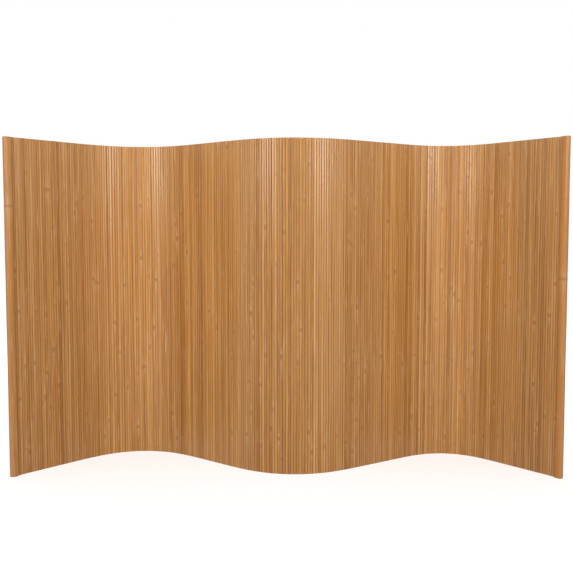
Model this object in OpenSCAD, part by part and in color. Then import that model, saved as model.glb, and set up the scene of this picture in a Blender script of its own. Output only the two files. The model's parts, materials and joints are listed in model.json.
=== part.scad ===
// Roll-up bamboo room divider, standing open in a wave.
// Narrow upright slats are glued side by side on one woven cloth behind them. At each end
// the edge of the cloth is clamped between a thick front batten and a thin rear batten,
// with screws from behind. The slats and battens stand on the floor.
// X runs along the screen, -Y is the slat side, +Y is the cloth side and Z is up.
// The origin is on the floor, in the middle of the space that the wave takes.

/* [Slats] */
// Height of the screen, which is the length of every slat and batten
screen_h = 1219.2; // [900:0.1:1500]
// Width of one slat
slat_w = 9.47; // [8:0.01:11]
// Thickness of one slat at its middle
slat_t = 5; // [4:0.1:6]
// Gap between two slats, which lets the screen bend
slat_gap = 0.45; // [0.4:0.01:0.7]
// Radius of the two front edges of a slat
slat_edge_r = 0.7; // [0.4:0.05:1]
// How much lower the domed front of a slat is at its edges than at its middle
slat_crown = 0.45; // [0.2:0.05:0.7]

/* [Panels] */
// Slats that keep together as one panel between two bending lines
slats_per_panel = 5; // [4:1:6]
// Panels between the two ends
panel_count = 48; // [40:1:50]

/* [End battens] */
// Width of an end batten
batten_w = 27; // [22:0.5:36]
// Thickness of a front batten at its middle
front_batten_t = 13; // [10:0.5:15]
// Radius of the front edges of a front batten
front_batten_r = 5; // [3:0.5:5.5]
// How much lower the domed front of a front batten is at its edges
front_batten_crown = 2; // [0.6:0.1:2]
// Thickness of a rear batten at its middle
rear_batten_t = 6; // [5:0.5:8]
// Radius of the outer edges of a rear batten
rear_batten_r = 2; // [1:0.5:3]
// How much lower the domed back of a rear batten is at its edges
rear_batten_crown = 0.5; // [0.2:0.1:1]
// Groove between an end batten and the space of its neighbouring slat
groove_w = 1.8; // [1:0.1:3]

/* [Backing cloth] */
// Thickness of the woven cloth
cloth_t = 0.8; // [0.6:0.1:1.2]
// Glue line between the cloth and each slat or batten
glue_t = 0.15; // [0.1:0.05:0.3]
// Height at the top and at the bottom where the slats stand clear of the cloth
cloth_inset = 3; // [2:0.5:30]
// Width at each end where the battens stand clear of the cloth
cloth_end_inset = 4; // [2:0.5:8]

/* [Batten screws] */
// Screws in each pair of end battens
screw_count = 5; // [3:1:7]
// Height from the end of a batten to its nearest screw
screw_end = 60; // [40:5:120]
// Diameter of a screw's shank
screw_d = 3; // [2.5:0.1:3.5]
// Diameter of a screw's countersunk head
screw_head_d = 6; // [5:0.1:7]
// Depth of a screw's countersunk head
screw_head_h = 1.6; // [1.2:0.1:2]
// Length of a screw's point
screw_point_l = 3; // [2:0.5:4]
// Diameter of the blunt tip of a screw's point
screw_tip_d = 0.5; // [0.2:0.1:1]
// How far a screw's head sits below the back of its rear batten
screw_head_sink = 0.2; // [0.1:0.05:0.5]
// Wood left in front of a screw's point
screw_cover = 3.9; // [3:0.1:5]
// Length of each arm pair of the cross cut in a screw's head
screw_cross_l = 4; // [3:0.1:4.5]
// Width of the cross cut in a screw's head
screw_cross_w = 0.9; // [0.6:0.1:1.2]
// Depth of the cross cut in a screw's head
screw_cross_depth = 0.8; // [0.4:0.1:1]
// Room round a screw in the rear batten and in the cloth
screw_room = 0.3; // [0.2:0.05:0.5]
// Room round a screw in the front batten
thread_room = 0.05; // [0.02:0.01:0.1]

/* [Standing wave] */
// Direction of the left end, in degrees from X
start_heading = 48.1; // [40:0.1:55]
// Turn of the left bend, in degrees
left_bend_turn = -87.6; // [-100:0.1:-60]
// Middle of the left bend, along the screen from its left end
left_bend_at = 555; // [500:1:600]
// Length of the left bend along the screen
left_bend_l = 567; // [500:1:640]
// Turn of the middle bend, in degrees
middle_bend_turn = 73.9; // [50:0.1:90]
// Middle of the middle bend, along the screen from its left end
middle_bend_at = 1251; // [1200:1:1300]
// Length of the middle bend along the screen
middle_bend_l = 568; // [500:1:640]
// Turn of the right bend, in degrees
right_bend_turn = -84.1; // [-100:0.1:-60]
// Middle of the right bend, along the screen from its left end
right_bend_at = 1944; // [1900:1:2000]
// Length of the right bend along the screen
right_bend_l = 437; // [400:1:500]

/* [Hidden] */
bamboo = "#B98B56";
batten_bamboo = "#B5834C";
cloth_colour = "#8C7355";
screw_colour = "#B9B4A6";
eps = 0.01;
$fn = 48;
dome_fn = 240;

function two_digits(i) = str(i < 10 ? "0" : "", i);
function panel_name(p) = str("slats_", two_digits(p));

// The screen is a row of straight cells: a batten with its groove, one cell for each slat,
// and a groove with its batten. The middle plane of the cloth runs from cell to cell.
slat_pitch = slat_w + slat_gap;
slat_count = panel_count * slats_per_panel;
end_cell_l = batten_w + groove_w;
last_cell = slat_count + 1;
function cell_l(i) = i == 0 || i == last_cell ? end_cell_l : slat_pitch;
function cell_middle(i) =
    i == 0 ? end_cell_l / 2
    : end_cell_l + (i - 1) * slat_pitch + cell_l(i) / 2;

// A bend's turn grows smoothly from none at its start to all of it at its end.
function eased(u) = (1 - cos(180 * min(max(u, 0), 1))) / 2;
function bend(s, turn, at, l) = turn * eased((s - at) / l + 0.5);
function heading(s) =
    start_heading
    + bend(s, left_bend_turn, left_bend_at, left_bend_l)
    + bend(s, middle_bend_turn, middle_bend_at, middle_bend_l)
    + bend(s, right_bend_turn, right_bend_at, right_bend_l);
cell_heading = [for (i = [0:last_cell]) heading(cell_middle(i))];

function along(angle) = [cos(angle), sin(angle)];
function rearward(angle) = [-sin(angle), cos(angle)];
raw_line = [
    for (i = 0, p = [0, 0]; i <= last_cell + 1;
         p = p + (i <= last_cell ? cell_l(i) * along(cell_heading[i]) : [0, 0]), i = i + 1)
        p
];

// Distances from the cloth's middle plane
cloth_half = cloth_t / 2;
seat = cloth_half + glue_t;

// Every rounded corner or face that can be the outermost in plan, as x, y and radius
function spot(i, x, y, r) =
    let (p = raw_line[i] + x * along(cell_heading[i]) + y * rearward(cell_heading[i]))
    [p.x, p.y, r];
front_corner_y = -(seat + front_batten_t - front_batten_r);
rear_corner_y = seat + rear_batten_t - rear_batten_r;
function batten_spots(i, x0) = [
    spot(i, x0 + front_batten_r, front_corner_y, front_batten_r),
    spot(i, x0 + batten_w - front_batten_r, front_corner_y, front_batten_r),
    spot(i, x0 + rear_batten_r, rear_corner_y, rear_batten_r),
    spot(i, x0 + batten_w - rear_batten_r, rear_corner_y, rear_batten_r)
];
spots = concat(
    batten_spots(0, 0),
    batten_spots(last_cell, groove_w),
    [for (i = [1:slat_count]) spot(i, slat_pitch / 2, -(seat + slat_t), 0)],
    [for (i = [1:slat_count]) spot(i, slat_pitch / 2, cloth_half, 0)]
);
plan_low = [min([for (s = spots) s[0] - s[2]]), min([for (s = spots) s[1] - s[2]])];
plan_high = [max([for (s = spots) s[0] + s[2]]), max([for (s = spots) s[1] + s[2]])];
plan_middle = (plan_low + plan_high) / 2;
line = [for (p = raw_line) p - plan_middle];

screw_step = (screen_h - 2 * screw_end) / (screw_count - 1);
screw_z = [for (i = [0:screw_count - 1]) screw_end + i * screw_step];
screw_head_y = seat + rear_batten_t - screw_head_sink;
screw_l = screw_head_y + seat + front_batten_t - screw_cover;
head_hole_d = screw_head_d + 2 * screw_room;
rear_hole_d = screw_d + 2 * screw_room;
front_hole_d = screw_d + 2 * thread_room;

// Section of a slat or batten: flat at y = 0, rounded edges and a domed face at y = -t
module lath_section(w, t, edge_r, crown) {
    dome_r = (w * w / 4 + crown * crown) / (2 * crown);
    intersection() {
        union() {
            translate([0, edge_r - t])
                square([w, t - edge_r]);
            translate([edge_r, -t])
                square([w - 2 * edge_r, t]);
            for (x = [edge_r, w - edge_r])
                translate([x, edge_r - t])
                    circle(r = edge_r);
        }
        translate([w / 2, dome_r - t])
            circle(r = dome_r, $fn = dome_fn);
    }
}

// Puts a piece at the start of a cell, with X along the cell and -Y to the slat side
module on_cell(i) {
    translate([line[i].x, line[i].y, 0])
        rotate([0, 0, cell_heading[i]])
            children();
}

module on_left_battens() {
    on_cell(0)
        children();
}

module on_right_battens() {
    on_cell(last_cell)
        translate([groove_w, 0, 0])
            children();
}

module slat() {
    translate([slat_gap / 2, -seat, 0])
        linear_extrude(height = screen_h)
            lath_section(slat_w, slat_t, slat_edge_r, slat_crown);
}

module slat_panel(p) {
    color(bamboo)
        for (i = [1:slats_per_panel])
            on_cell((p - 1) * slats_per_panel + i)
                slat();
}

// Puts a piece at each screw, with the screw's axis along Z from the head to the point
module at_screws() {
    for (z = screw_z)
        translate([batten_w / 2, screw_head_y, z])
            rotate([90, 0, 0])
                children();
}

module screw_hole() {
    translate([0, 0, -screw_head_sink - eps])
        cylinder(h = screw_head_sink + 2 * eps, d = head_hole_d);
    cylinder(h = screw_head_h, d1 = head_hole_d, d2 = rear_hole_d);
    cylinder(h = screw_l, d = rear_hole_d);
}

module screw() {
    shank_l = screw_l - screw_point_l;
    difference() {
        union() {
            cylinder(h = shank_l, d = screw_d);
            cylinder(h = screw_head_h, d1 = screw_head_d, d2 = screw_d);
            translate([0, 0, shank_l])
                cylinder(h = screw_point_l, d1 = screw_d, d2 = screw_tip_d);
        }
        for (turn = [0, 90])
            rotate([0, 0, turn])
                translate([-screw_cross_l / 2, -screw_cross_w / 2, -eps])
                    cube([screw_cross_l, screw_cross_w, screw_cross_depth + eps]);
    }
}

module front_batten() {
    difference() {
        translate([0, -seat, 0])
            linear_extrude(height = screen_h)
                lath_section(batten_w, front_batten_t, front_batten_r, front_batten_crown);
        at_screws()
            cylinder(h = screw_l + thread_room, d = front_hole_d);
    }
}

module rear_batten() {
    difference() {
        translate([batten_w, seat, 0])
            rotate([0, 0, 180])
                linear_extrude(height = screen_h)
                    lath_section(batten_w, rear_batten_t, rear_batten_r, rear_batten_crown);
        at_screws()
            screw_hole();
    }
}

module batten_screws() {
    at_screws()
        screw();
}

module left_front_batten() {
    color(batten_bamboo)
        on_left_battens()
            front_batten();
}

module left_rear_batten() {
    color(batten_bamboo)
        on_left_battens()
            rear_batten();
}

module left_batten_screws() {
    color(screw_colour)
        on_left_battens()
            batten_screws();
}

module right_front_batten() {
    color(batten_bamboo)
        on_right_battens()
            front_batten();
}

module right_rear_batten() {
    color(batten_bamboo)
        on_right_battens()
            rear_batten();
}

module right_batten_screws() {
    color(screw_colour)
        on_right_battens()
            batten_screws();
}

// The cloth's outline in plan: its middle plane moved to both sides, mitred at each corner
function corner_heading(i) =
    i == 0 ? cell_heading[0]
    : i == last_cell + 1 ? cell_heading[last_cell]
    : (cell_heading[i - 1] + cell_heading[i]) / 2;
function corner_stretch(i) =
    i == 0 || i == last_cell + 1 ? 1
    : 1 / cos((cell_heading[i] - cell_heading[i - 1]) / 2);
function end_shift(i) =
    i == 0 ? cloth_end_inset * along(cell_heading[0])
    : i == last_cell + 1 ? -cloth_end_inset * along(cell_heading[last_cell])
    : [0, 0];
function cloth_corner(i, side) =
    line[i] + end_shift(i) + side * cloth_half * corner_stretch(i) * rearward(corner_heading(i));

module backing_cloth() {
    color(cloth_colour)
        difference() {
            translate([0, 0, cloth_inset])
                linear_extrude(height = screen_h - 2 * cloth_inset)
                    polygon(concat(
                        [for (i = [0:last_cell + 1]) cloth_corner(i, -1)],
                        [for (i = [last_cell + 1:-1:0]) cloth_corner(i, 1)]
                    ));
            on_left_battens()
                at_screws()
                    cylinder(h = screw_l, d = rear_hole_d);
            on_right_battens()
                at_screws()
                    cylinder(h = screw_l, d = rear_hole_d);
        }
}

left_front_batten();
left_rear_batten();
left_batten_screws();
right_front_batten();
right_rear_batten();
right_batten_screws();
backing_cloth();
for (p = [1:panel_count])
    slat_panel(p);
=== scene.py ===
import json
import math
import random
from collections import namedtuple

import bmesh
import bpy
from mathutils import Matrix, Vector

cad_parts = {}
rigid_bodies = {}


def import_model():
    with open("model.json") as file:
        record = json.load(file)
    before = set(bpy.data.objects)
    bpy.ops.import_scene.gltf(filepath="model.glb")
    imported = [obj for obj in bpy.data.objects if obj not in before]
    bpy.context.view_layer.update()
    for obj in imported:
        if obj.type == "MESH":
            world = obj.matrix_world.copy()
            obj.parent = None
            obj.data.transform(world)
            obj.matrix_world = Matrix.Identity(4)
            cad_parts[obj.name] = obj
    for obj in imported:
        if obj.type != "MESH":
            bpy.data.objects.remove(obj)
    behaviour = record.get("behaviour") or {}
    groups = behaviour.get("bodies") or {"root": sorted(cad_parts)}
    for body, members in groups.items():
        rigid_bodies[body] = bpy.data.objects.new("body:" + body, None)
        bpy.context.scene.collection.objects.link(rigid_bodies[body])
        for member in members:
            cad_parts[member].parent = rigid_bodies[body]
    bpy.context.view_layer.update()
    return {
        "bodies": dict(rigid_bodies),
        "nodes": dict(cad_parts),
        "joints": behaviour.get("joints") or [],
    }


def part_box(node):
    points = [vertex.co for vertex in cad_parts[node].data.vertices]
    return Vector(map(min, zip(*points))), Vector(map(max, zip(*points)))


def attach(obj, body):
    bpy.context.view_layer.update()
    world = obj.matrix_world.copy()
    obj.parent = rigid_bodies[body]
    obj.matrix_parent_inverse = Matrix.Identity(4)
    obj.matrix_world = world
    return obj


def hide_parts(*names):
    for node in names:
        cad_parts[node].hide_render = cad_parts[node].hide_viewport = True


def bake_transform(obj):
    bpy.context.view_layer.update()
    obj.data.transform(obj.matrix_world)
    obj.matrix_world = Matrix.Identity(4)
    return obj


# Roll-up bamboo room divider, standing open in a wave. Blender's unit is the metre.
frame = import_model()

MM = 0.001
SCREEN_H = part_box("slats_01")[1].z
PANELS = sum(name.startswith("panel_") for name in frame["bodies"])
HINGES = {joint["name"]: Vector(joint["pos_m"]).xy for joint in frame["joints"]}

# Slats: no two are quite alike in width, depth and lean
SLAT_T = 5 * MM
SLAT_EDGE_R = 0.6 * MM
SLAT_CROWN = 0.3 * MM
SLAT_GAP = 0.45 * MM
SLAT_FACE_STEPS = 6
SLAT_EDGE_STEPS = 2
DEPTH_SPREAD = 0.12 * MM
WIDTH_SPREAD = 0.07 * MM
MOST_NARROWER = 0.5 * MM
LEAN_SPREAD = math.radians(1.1)

# End battens, with a groove between each one and the space of its neighbouring slat
BATTEN_T = 13 * MM
BATTEN_EDGE_R = 5 * MM
BATTEN_CROWN = 2 * MM
BATTEN_FACE_STEPS = 12
BATTEN_EDGE_STEPS = 6
GROOVE_W = 1.8 * MM

# Sawn corners are eased, and the sides are darkened with painted shade
END_EASE = 0.5 * MM
BACK_EASE = 0.15 * MM
SHADE_AT_FACE_EDGE = 0.04
SIDE_SHADE_RANGE = (0.3, 1.0)
FACE_SLACK = 0.01 * MM

# Nodes of the bamboo culm, which every strip still shows: most are faint, and some are marked
# by a brown scar with paler wood above and below it. The first one comes within one spacing.
NODE_SPACING = (185 * MM, 330 * MM)
SPACING_CHANGE = (0.9, 1.1)
FIRST_NODE = (0.05, 1)
NODE_HALF = (9 * MM, 18 * MM)
NODE_RISE = 0.16 * MM
MARKED_SHARE = 0.17
MARKED_SCAR = (0.12, 0.5)
FAINT_SCAR = (0.0, 0.1)
PALE_REACH = (35 * MM, 95 * MM)
PALE_STRENGTH = 1.6
Node = namedtuple("Node", "height half scar pale_reach darker_side")

# A strip's look: its tone from 0 to 1, how much lighter its right side is, and its hue from 0
# to 1. A part of a slat's tone and hue passes on to the next slat.
MIDDLE_TONE = 0.54
MIDDLE_HUE = 0.5
TONE_SPREAD = 0.1
SLANT_SPREAD = 0.13
CULM_TONE_SPREAD = 0.04
CULM_TONE_KEPT = 0.4
CULM_HUE_SPREAD = 0.24
CULM_HUE_KEPT = 0.35
Look = namedtuple("Look", "tone slant hue", defaults=(0.0, MIDDLE_HUE))

# The slats beside the battens are darker on that side, which is painted shade from the batten, and
# their neighbours are pale
LEFT_END_LOOKS = [Look(0.36, 0.22), Look(0.8)]
RIGHT_END_LOOKS = [Look(0.7), Look(0.7), Look(0.54, -0.22)]
BATTEN_LOOK = Look(0.5)

# The grain starts elsewhere on each slat: a step across in mm, and up to this far along in mm
GRAIN_STEP = 40.0
GRAIN_START = 9000

# Tones of the lacquered bamboo from dark to light, as sRGB hex values
SLAT_TONES = [(0.0, "#8C5A27"), (0.3, "#A26E38"), (0.55, "#B37D45"), (0.8, "#C58E55"), (1.0, "#D49E64")]
BATTEN_TONES = {
    "left": [(0.0, "#9A6331"), (0.5, "#B1793E"), (1.0, "#C69057")],
    "right": [(0.0, "#9D612B"), (0.5, "#B4783A"), (1.0, "#C99052")],
}

# Painted shade on each batten's left and right side: only the side in the groove has it
BATTEN_GROOVE_SHADE = {"left": (0.0, 1.0), "right": (1.0, 0.0)}

# Nodes on each end batten: the height in mm, and how strongly it shows
BATTEN_NODES = {
    "left": ((180, 0.06), (445, 0.08), (710, 0.06), (975, 0.5)),
    "right": ((150, 0.08), (434, 0.06), (718, 0.5), (1002, 0.06)),
}

# Backing cloth, which dips at each gap between slats and bends over a few mm at each hinge.
# The slubs of its two faces are shifted by so many mm, one way and the other.
CLOTH_T = 0.8 * MM
CLOTH_INSET = 3 * MM
CLOTH_END_INSET = 4 * MM
CLOTH_DIP = 0.1 * MM
CLOTH_ROWS = 14
BEND_HALF = 1.5 * MM
BEND_STEPS = (0.4, 0.7, 1.0)
SLUBS_SHIFT = 50.0
Cell = namedtuple("Cell", "start along rear length")
Column = namedtuple("Column", "place rear run from_gap")

# The photograph's camera, fitted to the screen's edges in a picture 573 pixels wide
PHOTO_PX = 573
FOCAL_PX = 801
SENSOR_MM = 36
CAMERA_AT = (3.2 * MM, -3008 * MM, 879.4 * MM)
CAMERA_DOWN = math.radians(3.806)

# Half the length of the floor's sides, in metres
FLOOR_HALF = 15

# Edges sharper than this stay sharp, and places nearer than this are one place
SHARP_ANGLE = math.radians(35)
TOUCHING = 0.001 * MM
PLAN_DECIMALS = 7

# Settings of a Mix node that lays one colour over another, and of one that multiplies them
PAINT = {"data_type": "RGBA"}
TINT = {"data_type": "RGBA", "blend_type": "MULTIPLY"}

slat_rng = random.Random(7)
# The second draws how much painted shade each slat's sides take
side_shade_rng = random.Random(3)


def linear(hex_colour):
    """An sRGB hex value as linear red, green, blue and alpha."""
    parts = [int(hex_colour[i:i + 2], 16) / 255 for i in (1, 3, 5)]
    curve = [c / 12.92 if c <= 0.04045 else ((c + 0.055) / 1.055) ** 2.4 for c in parts]
    return (*curve, 1)


def add(tree, kind, inputs=None, stops=(), **settings):
    """Adds one node with its settings. Inputs go by name, or by number where a node has several
    of one name. An input is linked where it is given as a node or a socket, and set otherwise.
    Stops are a colour ramp's places and sRGB hex colours."""
    node = tree.nodes.new("ShaderNode" + kind)
    for name, value in settings.items():
        setattr(node, name, value)
    for key, value in (inputs or {}).items():
        if isinstance(key, str):
            socket = next(port for port in node.inputs if port.enabled and port.name == key)
        else:
            socket = node.inputs[key]
        if isinstance(value, bpy.types.Node):
            value = next(port for port in value.outputs if port.enabled)
        if isinstance(value, bpy.types.NodeSocket):
            tree.links.new(value, socket)
        else:
            socket.default_value = value
    while stops and len(node.color_ramp.elements) < len(stops):
        node.color_ramp.elements.new(1)
    for i, (place, colour) in enumerate(stops):
        node.color_ramp.elements[i].position = place
        node.color_ramp.elements[i].color = linear(colour)
    return node


def new_material(name):
    """A material with nothing in it, its node tree and its output node."""
    material = bpy.data.materials.new(name)
    material.use_nodes = True
    material.node_tree.nodes.clear()
    return material, material.node_tree, add(material.node_tree, "OutputMaterial")


def streaks(tree, place, across_mm, along_mm, detail=2.0):
    """Noise drawn out along the fibres, with the width and length of one streak in mm."""
    scale = (1 / across_mm, 1 / across_mm, 1 / along_mm)
    stretched = add(tree, "VectorMath", {0: place, 1: scale}, operation="MULTIPLY")
    return add(tree, "TexNoise", {"Vector": stretched, "Scale": 1.0, "Detail": detail})


def bamboo(name, place_of, marks_of, tones):
    """Carbonised bamboo, planed along its fibres and finished with a satin lacquer.
    Steaming gives it the caramel brown, the fibres run as fine streaks along each strip, the
    bundles in them show as dark flecks, and the lacquer gives a soft, narrow highlight."""
    material, tree, output = new_material(name)
    place = place_of(tree)
    tone, hue, scar, pale, side = marks_of(tree, place)

    # Streaks of 2.2 mm by 420 mm are the strip's broad grain, and 0.6 mm by 130 mm its fibres.
    # The wood's tone drifts over some 500 mm. Each noise lies about its middle of 0.5, so half
    # of their shares is taken away again.
    broad = streaks(tree, place, 2.2, 420)
    fibres = streaks(tree, place, 0.6, 130, 1.0)
    drift = streaks(tree, place, 30, 500)
    broad_share, drift_share = 1.3, 0.3
    middle = (broad_share + drift_share) / 2
    shade = add(tree, "Math", {0: broad, 1: broad_share, 2: tone}, operation="MULTIPLY_ADD")
    shade = add(tree, "Math", {0: drift, 1: drift_share, 2: shade}, operation="MULTIPLY_ADD")
    shade = add(tree, "Math", {0: shade, 1: middle}, operation="SUBTRACT", use_clamp=True)
    colour = add(tree, "ValToRGB", {"Fac": shade}, stops=tones)
    # Strips from other culms lean to a warm orange or to a greyer brown.
    cast = add(tree, "ValToRGB", {"Fac": hue}, stops=[(0.0, "#FFFBE4"), (1.0, "#F8FDFF")])
    colour = add(tree, "Mix", {"Factor": 1.0, "A": colour, "B": cast}, **TINT)
    fine = add(tree, "MapRange", {"Value": fibres, "To Min": 0.74, "To Max": 1.27})
    colour = add(tree, "Mix", {"Factor": 1.0, "A": colour, "B": fine}, **TINT)

    # Bundles of vessels are dark flecks 0.35 mm wide and 20 mm long.
    flecks = streaks(tree, place, 0.35, 20, 0.0)
    fleck = add(tree, "MapRange", {"Value": flecks, "From Min": 0.6, "To Max": 0.8})
    colour = add(tree, "Mix", {"Factor": fleck, "A": colour, "B": linear("#7A4B22")}, **PAINT)

    # Beside a node the wood is paler. Traces of the culm's waxy skin leave greyish streaks
    # some 4 mm wide and 120 mm long. The node itself is a brown scar.
    waxy = streaks(tree, place, 4, 120, 1.0)
    waxy = add(tree, "MapRange", {"Value": waxy, "From Min": 0.61, "From Max": 0.78, "To Max": 0.7})
    beside = add(tree, "Math", {0: pale, 1: broad}, operation="MULTIPLY")
    paler = add(tree, "Math", {0: beside, 1: waxy}, operation="MAXIMUM")
    colour = add(tree, "Mix", {"Factor": paler, "A": colour, "B": linear("#CDA173")}, **PAINT)
    ragged = add(tree, "MapRange", {"Value": fibres, "To Min": 0.25, "To Max": 1.25})
    scarred = add(tree, "Math", {0: scar, 1: ragged}, operation="MULTIPLY", use_clamp=True)
    colour = add(tree, "Mix", {"Factor": scarred, "A": colour, "B": linear("#7E4A22")}, **PAINT)

    # The sawn sides are darkened with painted shade, which draws a dark line between two strips and
    # beside each batten.
    shaded_side = add(tree, "Mix", {"Factor": 1.0, "A": colour, "B": linear("#98765A")}, **TINT)
    colour = add(tree, "Mix", {"Factor": side, "A": colour, "B": shaded_side}, **PAINT)

    # Sawn ends are darker, with a dot for each bundle, about 0.7 mm apart.
    facing = add(tree, "SeparateXYZ", {"Vector": add(tree, "NewGeometry").outputs["Normal"]})
    upright = add(tree, "Math", {0: facing.outputs["Z"]}, operation="ABSOLUTE")
    sawn_end = add(tree, "Math", {0: upright, 1: 0.75}, operation="GREATER_THAN")
    in_plan = add(tree, "VectorMath", {0: place, 1: (1 / 0.7, 1 / 0.7, 0)}, operation="MULTIPLY")
    dots = add(tree, "TexVoronoi", {"Vector": in_plan, "Scale": 1.0})
    end_grain = add(tree, "ValToRGB", {"Fac": dots}, stops=[(0.1, "#6E4524"), (0.45, "#B08050")])
    colour = add(tree, "Mix", {"Factor": sawn_end, "A": colour, "B": end_grain}, **PAINT)

    # The lacquer is smooth on the planed faces, and the thirsty sawn ends stay rough.
    satin = add(tree, "MapRange", {"Value": broad, "To Min": 0.21, "To Max": 0.28})
    gloss = add(tree, "MapRange", {"Value": sawn_end, "To Min": satin, "To Max": 0.75})
    bump = add(tree, "Bump", {"Height": fibres, "Distance": 0.03 * MM, "Strength": 0.12})
    shader = add(tree, "BsdfPrincipled", {
        "Base Color": colour,
        "Roughness": gloss,
        "IOR": 1.42,
        "Normal": bump,
    })
    tree.links.new(shader.outputs[0], output.inputs["Surface"])
    return material


def slat_place(tree):
    """The place on a slat in mm: across it, through it and along it, different on every slat."""
    return add(tree, "Attribute", attribute_name="grain").outputs["Vector"]


def slat_marks(tree, place):
    """Each slat's own tone and hue, how strongly a node's scar and its paler wood show, and how
    much painted shade its sides take."""
    names = ("tone", "hue", "scar", "pale", "side")
    return [add(tree, "Attribute", attribute_name=name).outputs["Fac"] for name in names]


def batten_place(heading):
    """The place on a batten in mm, turned so that X runs across it."""
    def place(tree):
        here = add(tree, "TexCoord").outputs["Object"]
        per_mm = (1 / MM, 1 / MM, 1 / MM)
        return add(tree, "Mapping", {"Vector": here, "Rotation": (0, 0, -heading), "Scale": per_mm})
    return place


def batten_marks(nodes):
    """A batten's tone and hue, its nodes, given as heights in mm with how strongly each one
    shows, and the painted shade on its side in the groove. A scar fades out 9 mm from the middle
    of the node, and the paler wood beside it 60 mm from there."""
    def marks(tree, place):
        height = add(tree, "SeparateXYZ", {"Vector": place}).outputs["Z"]
        scars, pale = 0.0, 0.0
        for node_mm, strength in nodes:
            off = add(tree, "Math", {0: height, 1: node_mm}, operation="SUBTRACT")
            away = add(tree, "Math", {0: off}, operation="ABSOLUTE")
            scar = add(tree, "MapRange", {
                "Value": away,
                "From Min": 1.0,
                "From Max": 9.0,
                "To Min": strength,
                "To Max": 0.0,
            })
            beside = add(tree, "MapRange", {
                "Value": away,
                "From Min": 9.0,
                "From Max": 60.0,
                "To Min": strength,
                "To Max": 0.0,
            })
            scars = add(tree, "Math", {0: scar, 1: scars}, operation="ADD")
            pale = add(tree, "Math", {0: beside, 1: pale}, operation="ADD")
        # The batten's side in the groove takes painted shade
        side = add(tree, "Attribute", attribute_name="side").outputs["Fac"]
        return BATTEN_LOOK.tone, BATTEN_LOOK.hue, scars, pale, side
    return marks


def woven_cotton():
    """Plain-woven cotton canvas. Real threads lie about 0.8 mm apart, and these are drawn 1.6 mm
    apart so that they show. They give the back a matt, finely checked surface with slubs."""
    thread_mm = 1.6
    material, tree, output = new_material("woven_cotton_canvas")
    place = add(tree, "Attribute", attribute_name="weave").outputs["Vector"]
    counted = add(tree, "VectorMath", {0: place, 1: (1 / thread_mm,) * 3}, operation="MULTIPLY")
    across, up, _ = add(tree, "SeparateXYZ", {"Vector": counted}).outputs
    threads, rounds = [], []
    for run in (across, up):
        turn = add(tree, "Math", {0: run, 1: math.pi}, operation="MULTIPLY")
        wave = add(tree, "Math", {0: turn}, operation="SINE")
        threads.append(add(tree, "Math", {0: wave}, operation="ABSOLUTE"))
        rounds.append(add(tree, "Math", {0: run}, operation="FLOOR"))
    crossing = add(tree, "Math", {0: rounds[0], 1: rounds[1]}, operation="ADD")
    odd = add(tree, "Math", {0: crossing, 1: 2.0}, operation="MODULO")
    over = add(tree, "Math", {0: odd}, operation="ABSOLUTE")
    height = add(tree, "Mix", {"Factor": over, "A": threads[0], "B": threads[1]})

    # Slubs are thicker, lighter lengths of thread, 3 mm wide and 40 mm long, both ways.
    lying = add(tree, "VectorMath", {0: place, 1: (1 / 40, 1 / 3, 1.0)}, operation="MULTIPLY")
    slubs_across = add(tree, "TexNoise", {"Vector": lying, "Scale": 1.0})
    both = add(tree, "Math", {0: streaks(tree, place, 3, 40), 1: slubs_across}, operation="ADD")
    slubs = add(tree, "Math", {0: both, 1: 0.5}, operation="MULTIPLY")
    browns = [(0.35, "#6B5137"), (0.5, "#85684A"), (0.65, "#9C7F5E")]
    base = add(tree, "ValToRGB", {"Fac": slubs}, stops=browns)
    # Painted shade darkens the hollows of the weave between the threads.
    hollow_shade = add(tree, "MapRange", {"Value": height, "From Max": 0.5, "To Min": 0.62})
    colour = add(tree, "Mix", {"Factor": 1.0, "A": base, "B": hollow_shade}, **TINT)

    # The gaps between the slats press through the cloth as shallow upright lines 2.6 mm wide, which are
    # darkened with painted shade.
    pressed_in = add(tree, "MapRange", {
        "Value": add(tree, "Attribute", attribute_name="from_gap").outputs["Fac"],
        "From Min": 0.2,
        "From Max": 1.3,
        "To Min": 1.0,
        "To Max": 0.0,
    })
    shaded = add(tree, "Mix", {"Factor": 1.0, "A": colour, "B": linear("#B8ACA0")}, **TINT)
    colour = add(tree, "Mix", {"Factor": pressed_in, "A": colour, "B": shaded}, **PAINT)
    height = add(tree, "Math", {0: pressed_in, 1: -0.8, 2: height}, operation="MULTIPLY_ADD")
    bump = add(tree, "Bump", {"Height": height, "Distance": 0.3 * MM, "Strength": 0.7})
    shader = add(tree, "BsdfPrincipled", {"Base Color": colour, "Roughness": 0.92, "Normal": bump})
    tree.links.new(shader.outputs[0], output.inputs["Surface"])
    return material


def zinc_plated_steel():
    """Cold-headed steel screws with a bright zinc plating, which gives a pale grey metal with
    faint cloudy patches a few millimetres wide."""
    material, tree, output = new_material("zinc_plated_steel")
    here = add(tree, "TexCoord").outputs["Object"]
    cloud = add(tree, "TexNoise", {"Vector": here, "Scale": 1 / (3 * MM), "Detail": 3.0})
    colour = add(tree, "ValToRGB", {"Fac": cloud}, stops=[(0.3, "#A9A69C"), (0.7, "#CFCCC2")])
    rough = add(tree, "MapRange", {"Value": cloud, "To Min": 0.28, "To Max": 0.45})
    shader = add(tree, "BsdfPrincipled", {"Base Color": colour, "Metallic": 1.0, "Roughness": rough})
    tree.links.new(shader.outputs[0], output.inputs["Surface"])
    return material


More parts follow.
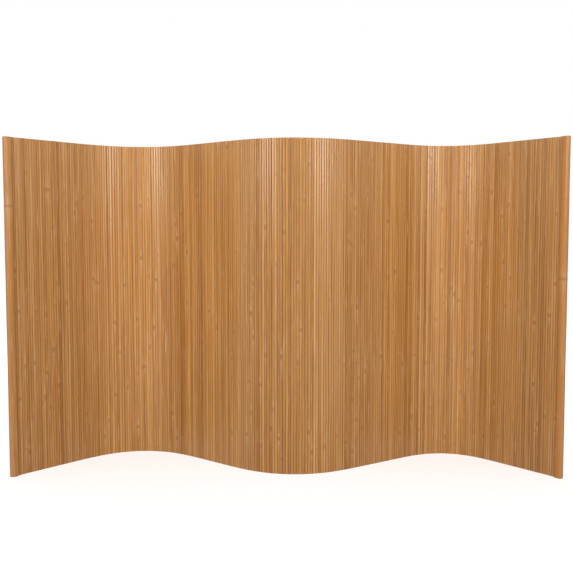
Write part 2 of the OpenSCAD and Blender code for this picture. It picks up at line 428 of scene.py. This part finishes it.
class Lath:
    """The plan of one upright strip: the middle of its flat back, and its two directions."""

    def __init__(self, points):
        # A strip's width runs the way in which its points are spread the most.
        centre = sum(points, Vector((0, 0))) / len(points)
        xx = sum((p.x - centre.x) ** 2 for p in points)
        yy = sum((p.y - centre.y) ** 2 for p in points)
        xy = sum((p.x - centre.x) * (p.y - centre.y) for p in points)
        self.heading = 0.5 * math.atan2(2 * xy, xx - yy)
        self.along = Vector((math.cos(self.heading), math.sin(self.heading)))
        self.front = Vector((math.sin(self.heading), -math.cos(self.heading)))
        across = [p.dot(self.along) for p in points]
        through = [p.dot(self.front) for p in points]
        self.width = max(across) - min(across)
        self.back = self.along * (max(across) + min(across)) / 2 + self.front * min(through)

    def at(self, across, forward):
        """A point in plan, measured from the middle of the back."""
        return self.back + self.along * across + self.front * forward


def laths_of(node):
    """The laths of a CAD node from left to right, one for each of its solids. Points one above
    the other count once in a lath's plan."""
    bm = bmesh.new()
    bm.from_mesh(frame["nodes"][node].data)
    bmesh.ops.remove_doubles(bm, verts=bm.verts, dist=TOUCHING)
    left, laths = set(bm.verts), []
    while left:
        stack, plan = [left.pop()], set()
        while stack:
            vert = stack.pop()
            plan.add((round(vert.co.x, PLAN_DECIMALS), round(vert.co.y, PLAN_DECIMALS)))
            for edge in vert.link_edges:
                other = edge.other_vert(vert)
                if other in left:
                    left.remove(other)
                    stack.append(other)
        laths.append(Lath([Vector(p) for p in sorted(plan)]))
    bm.free()
    return sorted(laths, key=lambda lath: lath.back.x)


# A strip's plan as (across, forward) points, with how far forward its sides and its face end
Outline = namedtuple("Outline", "points side face")


def lath_outline(width, thickness, edge_r, crown, face_steps, edge_steps):
    """Outline of a strip with a flat back, a domed face and rounded front edges, from its back
    left corner."""
    half = width / 2
    flat = half - edge_r

    def dome(across):
        return thickness - crown * (across / half) ** 2

    side = dome(flat) - edge_r
    left_edge = []
    for i in range(edge_steps + 1):
        turn = math.pi / 2 * i / edge_steps
        left_edge.append((-half + edge_r * (1 - math.cos(turn)), side + edge_r * math.sin(turn)))
    right_edge = [(-across, forward) for across, forward in reversed(left_edge)]
    face = []
    for i in range(1, face_steps):
        across = flat * (2 * i / face_steps - 1)
        face.append((across, dome(across)))
    back_left = [(-half + BACK_EASE, 0), (-half, BACK_EASE)]
    back_right = [(half, BACK_EASE), (half - BACK_EASE, 0)]
    return Outline(back_left + left_edge + face + right_edge + back_right, side, left_edge[-1][1])


class Piece:
    """Collects the faces of one piece and the values that its material reads."""

    def __init__(self, name):
        self.name = name
        self.verts, self.faces = [], []
        self.values = {}

    def point(self, co, **values):
        """Adds a point with its values, and gives its number."""
        self.verts.append(co)
        for key, value in values.items():
            self.values.setdefault(key, []).append(value)
        return len(self.verts) - 1

    def build(self, material):
        """Makes the object, smooth but for its sharp edges."""
        mesh = bpy.data.meshes.new(self.name)
        mesh.from_pydata(self.verts, [], self.faces)
        for key, values in self.values.items():
            if isinstance(values[0], tuple):
                layer = mesh.attributes.new(key, "FLOAT_VECTOR", "POINT")
                layer.data.foreach_set("vector", [x for value in values for x in value])
            else:
                layer = mesh.attributes.new(key, "FLOAT", "POINT")
                layer.data.foreach_set("value", values)
        mesh.materials.append(material)
        mesh.shade_smooth()
        mesh.set_sharp_from_angle(angle=SHARP_ANGLE)
        mesh.validate()
        piece = bpy.data.objects.new(self.name, mesh)
        bpy.context.scene.collection.objects.link(piece)
        return piece


def within_one(value):
    """The value, held between 0 and 1."""
    return min(1.0, max(0.0, value))


def culm_nodes():
    """Nodes of one slat: their heights, half their lengths, how dark each scar is, how far the
    paler wood reaches below and above it, and to which side the scar is darker."""
    spacing = slat_rng.uniform(*NODE_SPACING)
    height = slat_rng.uniform(*FIRST_NODE) * spacing
    nodes = []
    while height < SCREEN_H - NODE_HALF[1]:
        marked = slat_rng.random() < MARKED_SHARE
        half = slat_rng.uniform(*NODE_HALF)
        scar = slat_rng.uniform(*(MARKED_SCAR if marked else FAINT_SCAR))
        reach = (slat_rng.uniform(*PALE_REACH), slat_rng.uniform(*PALE_REACH))
        darker_side = slat_rng.uniform(-1, 1)
        nodes.append(Node(height, half, scar, reach if marked else None, darker_side))
        height += spacing * slat_rng.uniform(*SPACING_CHANGE)
    return nodes


def node_values(nodes, z):
    """How much of a node's swelling, scar and paler wood there is at a height, and to which side
    the scar is darker. The paler wood is strongest just outside the scar and fades to its
    reach."""
    rise, scar, pale, skew = 0.0, 0.0, 0.0, 0.0
    for node in nodes:
        away = abs(z - node.height)
        swell = max(0.0, 1 - away / node.half)
        rise = max(rise, swell)
        if swell:
            skew = node.darker_side
        scar = max(scar, node.scar * swell)
        if node.pale_reach:
            below, above = node.pale_reach
            reach = above if z > node.height else below
            fade = 1 - (away - node.half) / (reach - node.half)
            pale = max(pale, PALE_STRENGTH * node.scar * min(1.0, away / node.half, max(0.0, fade)))
    return rise, scar, pale, skew


def node_heights(nodes):
    """Heights at which a strip needs points: its eased ends and those round each node."""
    heights = {0.0, END_EASE, SCREEN_H - END_EASE, SCREEN_H}
    for node in nodes:
        steps = [-node.half, -node.half / 2, 0, node.half / 2, node.half]
        if node.pale_reach:
            below, above = node.pale_reach
            steps += [-below, above]
        heights.update(node.height + step for step in steps)
    return sorted(z for z in heights if 0 <= z <= SCREEN_H)


def painted_shade_share(forward, outline):
    """How much of the side's painted shade a point takes: none on the face, a little at the face's
    edge, and all from where the rounded edge meets the side."""
    if forward > outline.face + FACE_SLACK:
        return 0.0
    down = (outline.face - forward) / (outline.face - outline.side)
    return min(1.0, SHADE_AT_FACE_EDGE + (1 - SHADE_AT_FACE_EDGE) * down)


def add_strip(piece, lath, outline, nodes, look, side_shades, seed=(0, 0), lean=0.0, front_shift=0.0):
    """Adds one upright strip to a piece, with a small swelling at each node of the culm. The two
    side values are the painted shade on its left and its right side, the seed is where its grain
    starts in mm, and its face may lean and stand a little further forward or back."""
    rings = []
    thick = max(forward for _, forward in outline.points)
    for z in node_heights(nodes):
        rise, scar, pale, skew = node_values(nodes, z)
        ease = END_EASE if z in (0.0, SCREEN_H) else 0.0
        ring = []
        for across, forward in outline.points:
            # The back stays flat on the cloth, so a point moves by its share of the way forward.
            share = forward / thick
            tilt = math.tan(lean) * across * share
            grown = forward + share * (front_shift + tilt + rise * NODE_RISE - ease)
            drawn_in = across * (1 - ease / lath.width)
            spot = lath.at(drawn_in, max(grown, 0.0))
            # Painted shade on the side that this point lies on
            side_shade = side_shades[1] if across > 0 else side_shades[0]
            ring.append(piece.point(
                (spot.x, spot.y, z),
                grain=(across / MM + seed[0], forward / MM, z / MM + seed[1]),
                tone=look.tone + look.slant * 2 * across / lath.width,
                hue=look.hue,
                scar=scar * (1 + skew * 2 * across / lath.width),
                pale=pale,
                side=painted_shade_share(forward, outline) * side_shade,
            ))
        rings.append(ring)
    count = len(outline.points)
    for low, high in zip(rings, rings[1:]):
        for i in range(count):
            j = (i + 1) % count
            piece.faces.append((low[i], high[i], high[j], low[j]))
    piece.faces.append(tuple(rings[0]))
    piece.faces.append(tuple(reversed(rings[-1])))


def slat_looks(count):
    """A look for each slat. Neighbours cut from one culm are a little alike."""
    looks, culm_tone, culm_hue = [], 0.0, 0.0
    for _ in range(count):
        culm_tone = CULM_TONE_KEPT * culm_tone + slat_rng.gauss(0, CULM_TONE_SPREAD)
        tone = MIDDLE_TONE + culm_tone + slat_rng.gauss(0, TONE_SPREAD)
        slant = slat_rng.gauss(0, SLANT_SPREAD)
        culm_hue = CULM_HUE_KEPT * culm_hue + slat_rng.gauss(0, CULM_HUE_SPREAD)
        looks.append(Look(within_one(tone), slant, within_one(MIDDLE_HUE + culm_hue)))
    inner = looks[len(LEFT_END_LOOKS):-len(RIGHT_END_LOOKS)]
    return LEFT_END_LOOKS + inner + RIGHT_END_LOOKS


def dress_slats(material):
    """Every panel's slats as strips with nodes, in the places of the CAD slats."""
    all_laths = [laths_of(f"slats_{panel:02d}") for panel in range(1, PANELS + 1)]
    looks = slat_looks(sum(len(laths) for laths in all_laths))
    slat = 0
    for panel, laths in enumerate(all_laths, 1):
        piece = Piece(f"bamboo_slats_{panel:02d}")
        for lath in laths:
            width = lath.width - min(MOST_NARROWER, slat_rng.expovariate(1 / WIDTH_SPREAD))
            steps = (SLAT_FACE_STEPS, SLAT_EDGE_STEPS)
            outline = lath_outline(width, SLAT_T, SLAT_EDGE_R, SLAT_CROWN, *steps)
            seed = (GRAIN_STEP * slat, slat_rng.uniform(0, GRAIN_START))
            lean = slat_rng.gauss(0, LEAN_SPREAD)
            front_shift = slat_rng.uniform(-1, 0) * DEPTH_SPREAD
            nodes = culm_nodes()
            # How much painted shade each side of the slat takes
            side_shades = (side_shade_rng.uniform(*SIDE_SHADE_RANGE), side_shade_rng.uniform(*SIDE_SHADE_RANGE))
            add_strip(piece, lath, outline, nodes, looks[slat], side_shades, seed, lean, front_shift)
            slat += 1
        made = piece.build(material)
        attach(made, f"panel_{panel:02d}")
        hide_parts(f"slats_{panel:02d}")
    return all_laths


def coat(node, material):
    """Gives a CAD piece that keeps its shape its material."""
    mesh = frame["nodes"][node].data
    mesh.materials.clear()
    mesh.materials.append(material)


def dress_battens():
    """A front batten with its nodes at each end. The rear battens keep their CAD shape. The
    nodes only swell here, because the battens' material draws their scars."""
    ends = {}
    for side, marked in BATTEN_NODES.items():
        lath = laths_of(f"{side}_front_batten")[0]
        material = bamboo(
            f"carbonised_bamboo_{side}_battens",
            batten_place(lath.heading),
            batten_marks(marked),
            BATTEN_TONES[side],
        )
        steps = (BATTEN_FACE_STEPS, BATTEN_EDGE_STEPS)
        outline = lath_outline(lath.width, BATTEN_T, BATTEN_EDGE_R, BATTEN_CROWN, *steps)
        piece = Piece(f"{side}_front_batten_bamboo")
        nodes = [Node(height * MM, NODE_HALF[1], 0.0, None, 0.0) for height, _ in marked]
        add_strip(piece, lath, outline, nodes, BATTEN_LOOK, BATTEN_GROOVE_SHADE[side])
        made = piece.build(material)
        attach(made, f"{side}_end")
        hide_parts(f"{side}_front_batten")
        coat(f"{side}_rear_batten", material)
        ends[side] = lath
    return ends


def cloth_line(all_laths, ends):
    """The cloth's middle line in plan, as one cell for each batten and slat from left to right.
    A cell has its start, its direction, the direction to the rear, and its length."""
    # Seat is how far the middle of the cloth lies behind the backs of the slats.
    first = all_laths[0][0]
    seat = (first.back - HINGES["bend_01"]).dot(first.front)
    left, right = ends["left"], ends["right"]
    end_length = left.width + GROOVE_W
    cells = [Cell(left.at(-left.width / 2, -seat), left.along, -left.front, end_length)]
    for laths in all_laths:
        for lath in laths:
            length = lath.width + SLAT_GAP
            cells.append(Cell(lath.at(-length / 2, -seat), lath.along, -lath.front, length))
    beside_groove = right.at(-right.width / 2 - GROOVE_W, -seat)
    cells.append(Cell(beside_groove, right.along, -right.front, end_length))
    return cells


def cloth_columns(cells):
    """Columns of the cloth: place in plan, direction to the rear, distance along the cloth, and
    distance from the nearest gap between slats."""
    columns, run = [], 0.0
    last = len(cells) - 1
    slats = (last - 1) // PANELS
    for i, (start, along, rear, length) in enumerate(cells):
        gap = SLAT_GAP / 2
        steps = [0.0, gap, length / 2, length - gap]
        if i == 0:
            steps = [CLOTH_END_INSET, length / 2, length - GROOVE_W]
        if i == last:
            steps = [0.0, GROOVE_W, length / 2, length - CLOTH_END_INSET]
        after_hinge = (i - 1) % slats == 0
        before_hinge = i % slats == 0
        if after_hinge:
            steps += [step * BEND_HALF for step in BEND_STEPS]
        if before_hinge:
            steps += [length - step * BEND_HALF for step in BEND_STEPS]
        before = cells[i - 1].rear if i else rear
        for step in sorted(set(steps)):
            dip = CLOTH_DIP if step == 0.0 else 0.0
            direction = (before + rear).normalized() if step == 0.0 else rear
            spot = start + along * step - direction * dip
            columns.append(Column(spot, direction, run + step, min(step, length - step)))
        run += length
    return columns


def cloth_strip(name, columns, rows):
    """A strip of the cloth through its columns and rows, with a front and a back face and its
    four edges closed. The slubs lie elsewhere on the back face."""
    piece = Piece(name)
    sheets = []
    for side in (-1, 1):
        grid = []
        for place, rear, run, from_gap in columns:
            spot = place + rear * (side * CLOTH_T / 2)
            column = []
            for z in rows:
                weave = (run / MM, z / MM, side * SLUBS_SHIFT)
                column.append(piece.point((spot.x, spot.y, z), weave=weave, from_gap=from_gap / MM))
            grid.append(column)
        sheets.append(grid)
    front, back = sheets
    for c in range(len(columns) - 1):
        for r in range(len(rows) - 1):
            piece.faces.append((front[c][r], front[c + 1][r], front[c + 1][r + 1], front[c][r + 1]))
            piece.faces.append((back[c][r], back[c][r + 1], back[c + 1][r + 1], back[c + 1][r]))
        piece.faces.append((front[c][0], back[c][0], back[c + 1][0], front[c + 1][0]))
        piece.faces.append((front[c][-1], front[c + 1][-1], back[c + 1][-1], back[c][-1]))
    for r in range(len(rows) - 1):
        piece.faces.append((front[0][r], front[0][r + 1], back[0][r + 1], back[0][r]))
        piece.faces.append((front[-1][r], back[-1][r], back[-1][r + 1], front[-1][r + 1]))
    return piece


def dress_cloth(material, all_laths, ends):
    """The cloth in strips from the middle of one panel to the middle of the next. Each strip
    bends at its hinge."""
    cells = cloth_line(all_laths, ends)
    columns = cloth_columns(cells)
    slats = len(all_laths[0])
    rows = [CLOTH_INSET + (SCREEN_H - 2 * CLOTH_INSET) * r / CLOTH_ROWS for r in range(CLOTH_ROWS + 1)]

    # The strips meet in the middle of each panel's middle slat.
    seams = [0.0]
    for panel in range(PANELS):
        middle = panel * slats + slats // 2 + 1
        seams.append(sum(cell.length for cell in cells[:middle]) + cells[middle].length / 2)
    seams.append(columns[-1].run)

    for hinge in range(PANELS + 1):
        begin, finish = seams[hinge] - TOUCHING, seams[hinge + 1] + TOUCHING
        mine = [column for column in columns if begin <= column.run <= finish]
        made = cloth_strip(f"backing_cloth_{hinge + 1:02d}", mine, rows).build(material)
        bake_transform(made)
        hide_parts("backing_cloth")


def seen_directly(tree):
    """1 for what the camera sees, also in metal and through glass, and 0 for light on objects."""
    path = add(tree, "LightPath").outputs
    rays = (path["Is Camera Ray"], path["Is Glossy Ray"], path["Is Transmission Ray"])
    two = add(tree, "Math", {0: rays[0], 1: rays[1]}, operation="ADD", use_clamp=True)
    return add(tree, "Math", {0: two, 1: rays[2]}, operation="ADD", use_clamp=True)


def make_floor():
    """A plain matt white floor, which stays white to the camera and keeps a faint shadow. It
    glows by 0.4 within 1.4 m of the middle, and by up to 0.75 from 4 m on, where the lamps light
    it less."""
    material, tree, output = new_material("matt_white_floor")
    matt = add(tree, "BsdfDiffuse", {"Color": linear("#A9A7A3")})
    faint = add(tree, "BsdfDiffuse", {"Color": linear("#CCCCCC")})
    here = add(tree, "TexCoord").outputs["Object"]
    glow = add(tree, "MapRange", {
        "Value": add(tree, "VectorMath", {0: here}, operation="LENGTH").outputs["Value"],
        "From Min": 1.4,
        "From Max": 4.0,
        "To Min": 0.4,
        "To Max": 0.75,
    })
    white = add(tree, "Emission", {"Color": (1, 1, 1, 1), "Strength": glow})
    shown = add(tree, "AddShader", {0: faint, 1: white})
    both = add(tree, "MixShader", {"Fac": seen_directly(tree), 1: matt, 2: shown})
    tree.links.new(both.outputs[0], output.inputs["Surface"])
    half = FLOOR_HALF
    corners = [(-half, -half, 0), (half, -half, 0), (half, half, 0), (-half, half, 0)]
    mesh = bpy.data.meshes.new("floor")
    mesh.from_pydata(corners, [], [(0, 1, 2, 3)])
    mesh.materials.append(material)
    floor = bpy.data.objects.new("floor", mesh)
    bpy.context.scene.collection.objects.link(floor)


def make_world():
    """White studio surroundings: full white where they are seen, softer as a light."""
    world = bpy.data.worlds.new("white_studio")
    bpy.context.scene.world = world
    world.use_nodes = True
    tree = world.node_tree
    tree.nodes.clear()
    strength = add(tree, "MapRange", {"Value": seen_directly(tree), "To Min": 0.46})
    sky = add(tree, "Background", {"Color": (1, 1, 1, 1), "Strength": strength})
    output = add(tree, "OutputWorld")
    tree.links.new(sky.outputs[0], output.inputs["Surface"])


def soft_box(name, at, size, watts, aim=(0, 0, 0.6)):
    """A rectangular soft light that faces the screen, with its size in metres."""
    light = bpy.data.lights.new(name, "AREA")
    light.shape = "RECTANGLE"
    light.size, light.size_y = size
    light.energy = watts
    lamp = bpy.data.objects.new(name, light)
    bpy.context.scene.collection.objects.link(lamp)
    lamp.location = at
    lamp.rotation_euler = (Vector(aim) - Vector(at)).to_track_quat("-Z", "Y").to_euler()
    lamp.visible_camera = False


def make_lights():
    """Two soft boxes in front, a light overhead in front and a weak one behind."""
    soft_box("soft_box_left", at=(-2.45, -2.85, 2.02), size=(0.65, 1.8), watts=64)
    soft_box("soft_box_right", at=(2.45, -2.95, 2.02), size=(0.65, 1.8), watts=64)
    soft_box("overhead", at=(0, -1.7, 3.4), size=(3.0, 1.0), watts=42, aim=(0, 0, 1.0))
    soft_box("rear_fill", at=(0, 3.4, 2.4), size=(3.6, 2.0), watts=110)


def make_camera():
    """The camera at the photograph's place, angle and field of view."""
    camera = bpy.data.cameras.new("camera")
    camera.sensor_width = SENSOR_MM
    camera.lens = SENSOR_MM * FOCAL_PX / PHOTO_PX
    holder = bpy.data.objects.new("camera", camera)
    bpy.context.scene.collection.objects.link(holder)
    holder.location = CAMERA_AT
    holder.rotation_euler = (math.pi / 2 - CAMERA_DOWN, 0, 0)
    bpy.context.scene.camera = holder


make_camera()
panel_laths = dress_slats(bamboo("carbonised_bamboo_slats", slat_place, slat_marks, SLAT_TONES))
end_laths = dress_battens()
dress_cloth(woven_cotton(), panel_laths, end_laths)
zinc = zinc_plated_steel()
for side in ("left", "right"):
    coat(f"{side}_batten_screws", zinc)
make_floor()
make_world()
make_lights()
bpy.context.scene.view_settings.view_transform = "Standard"
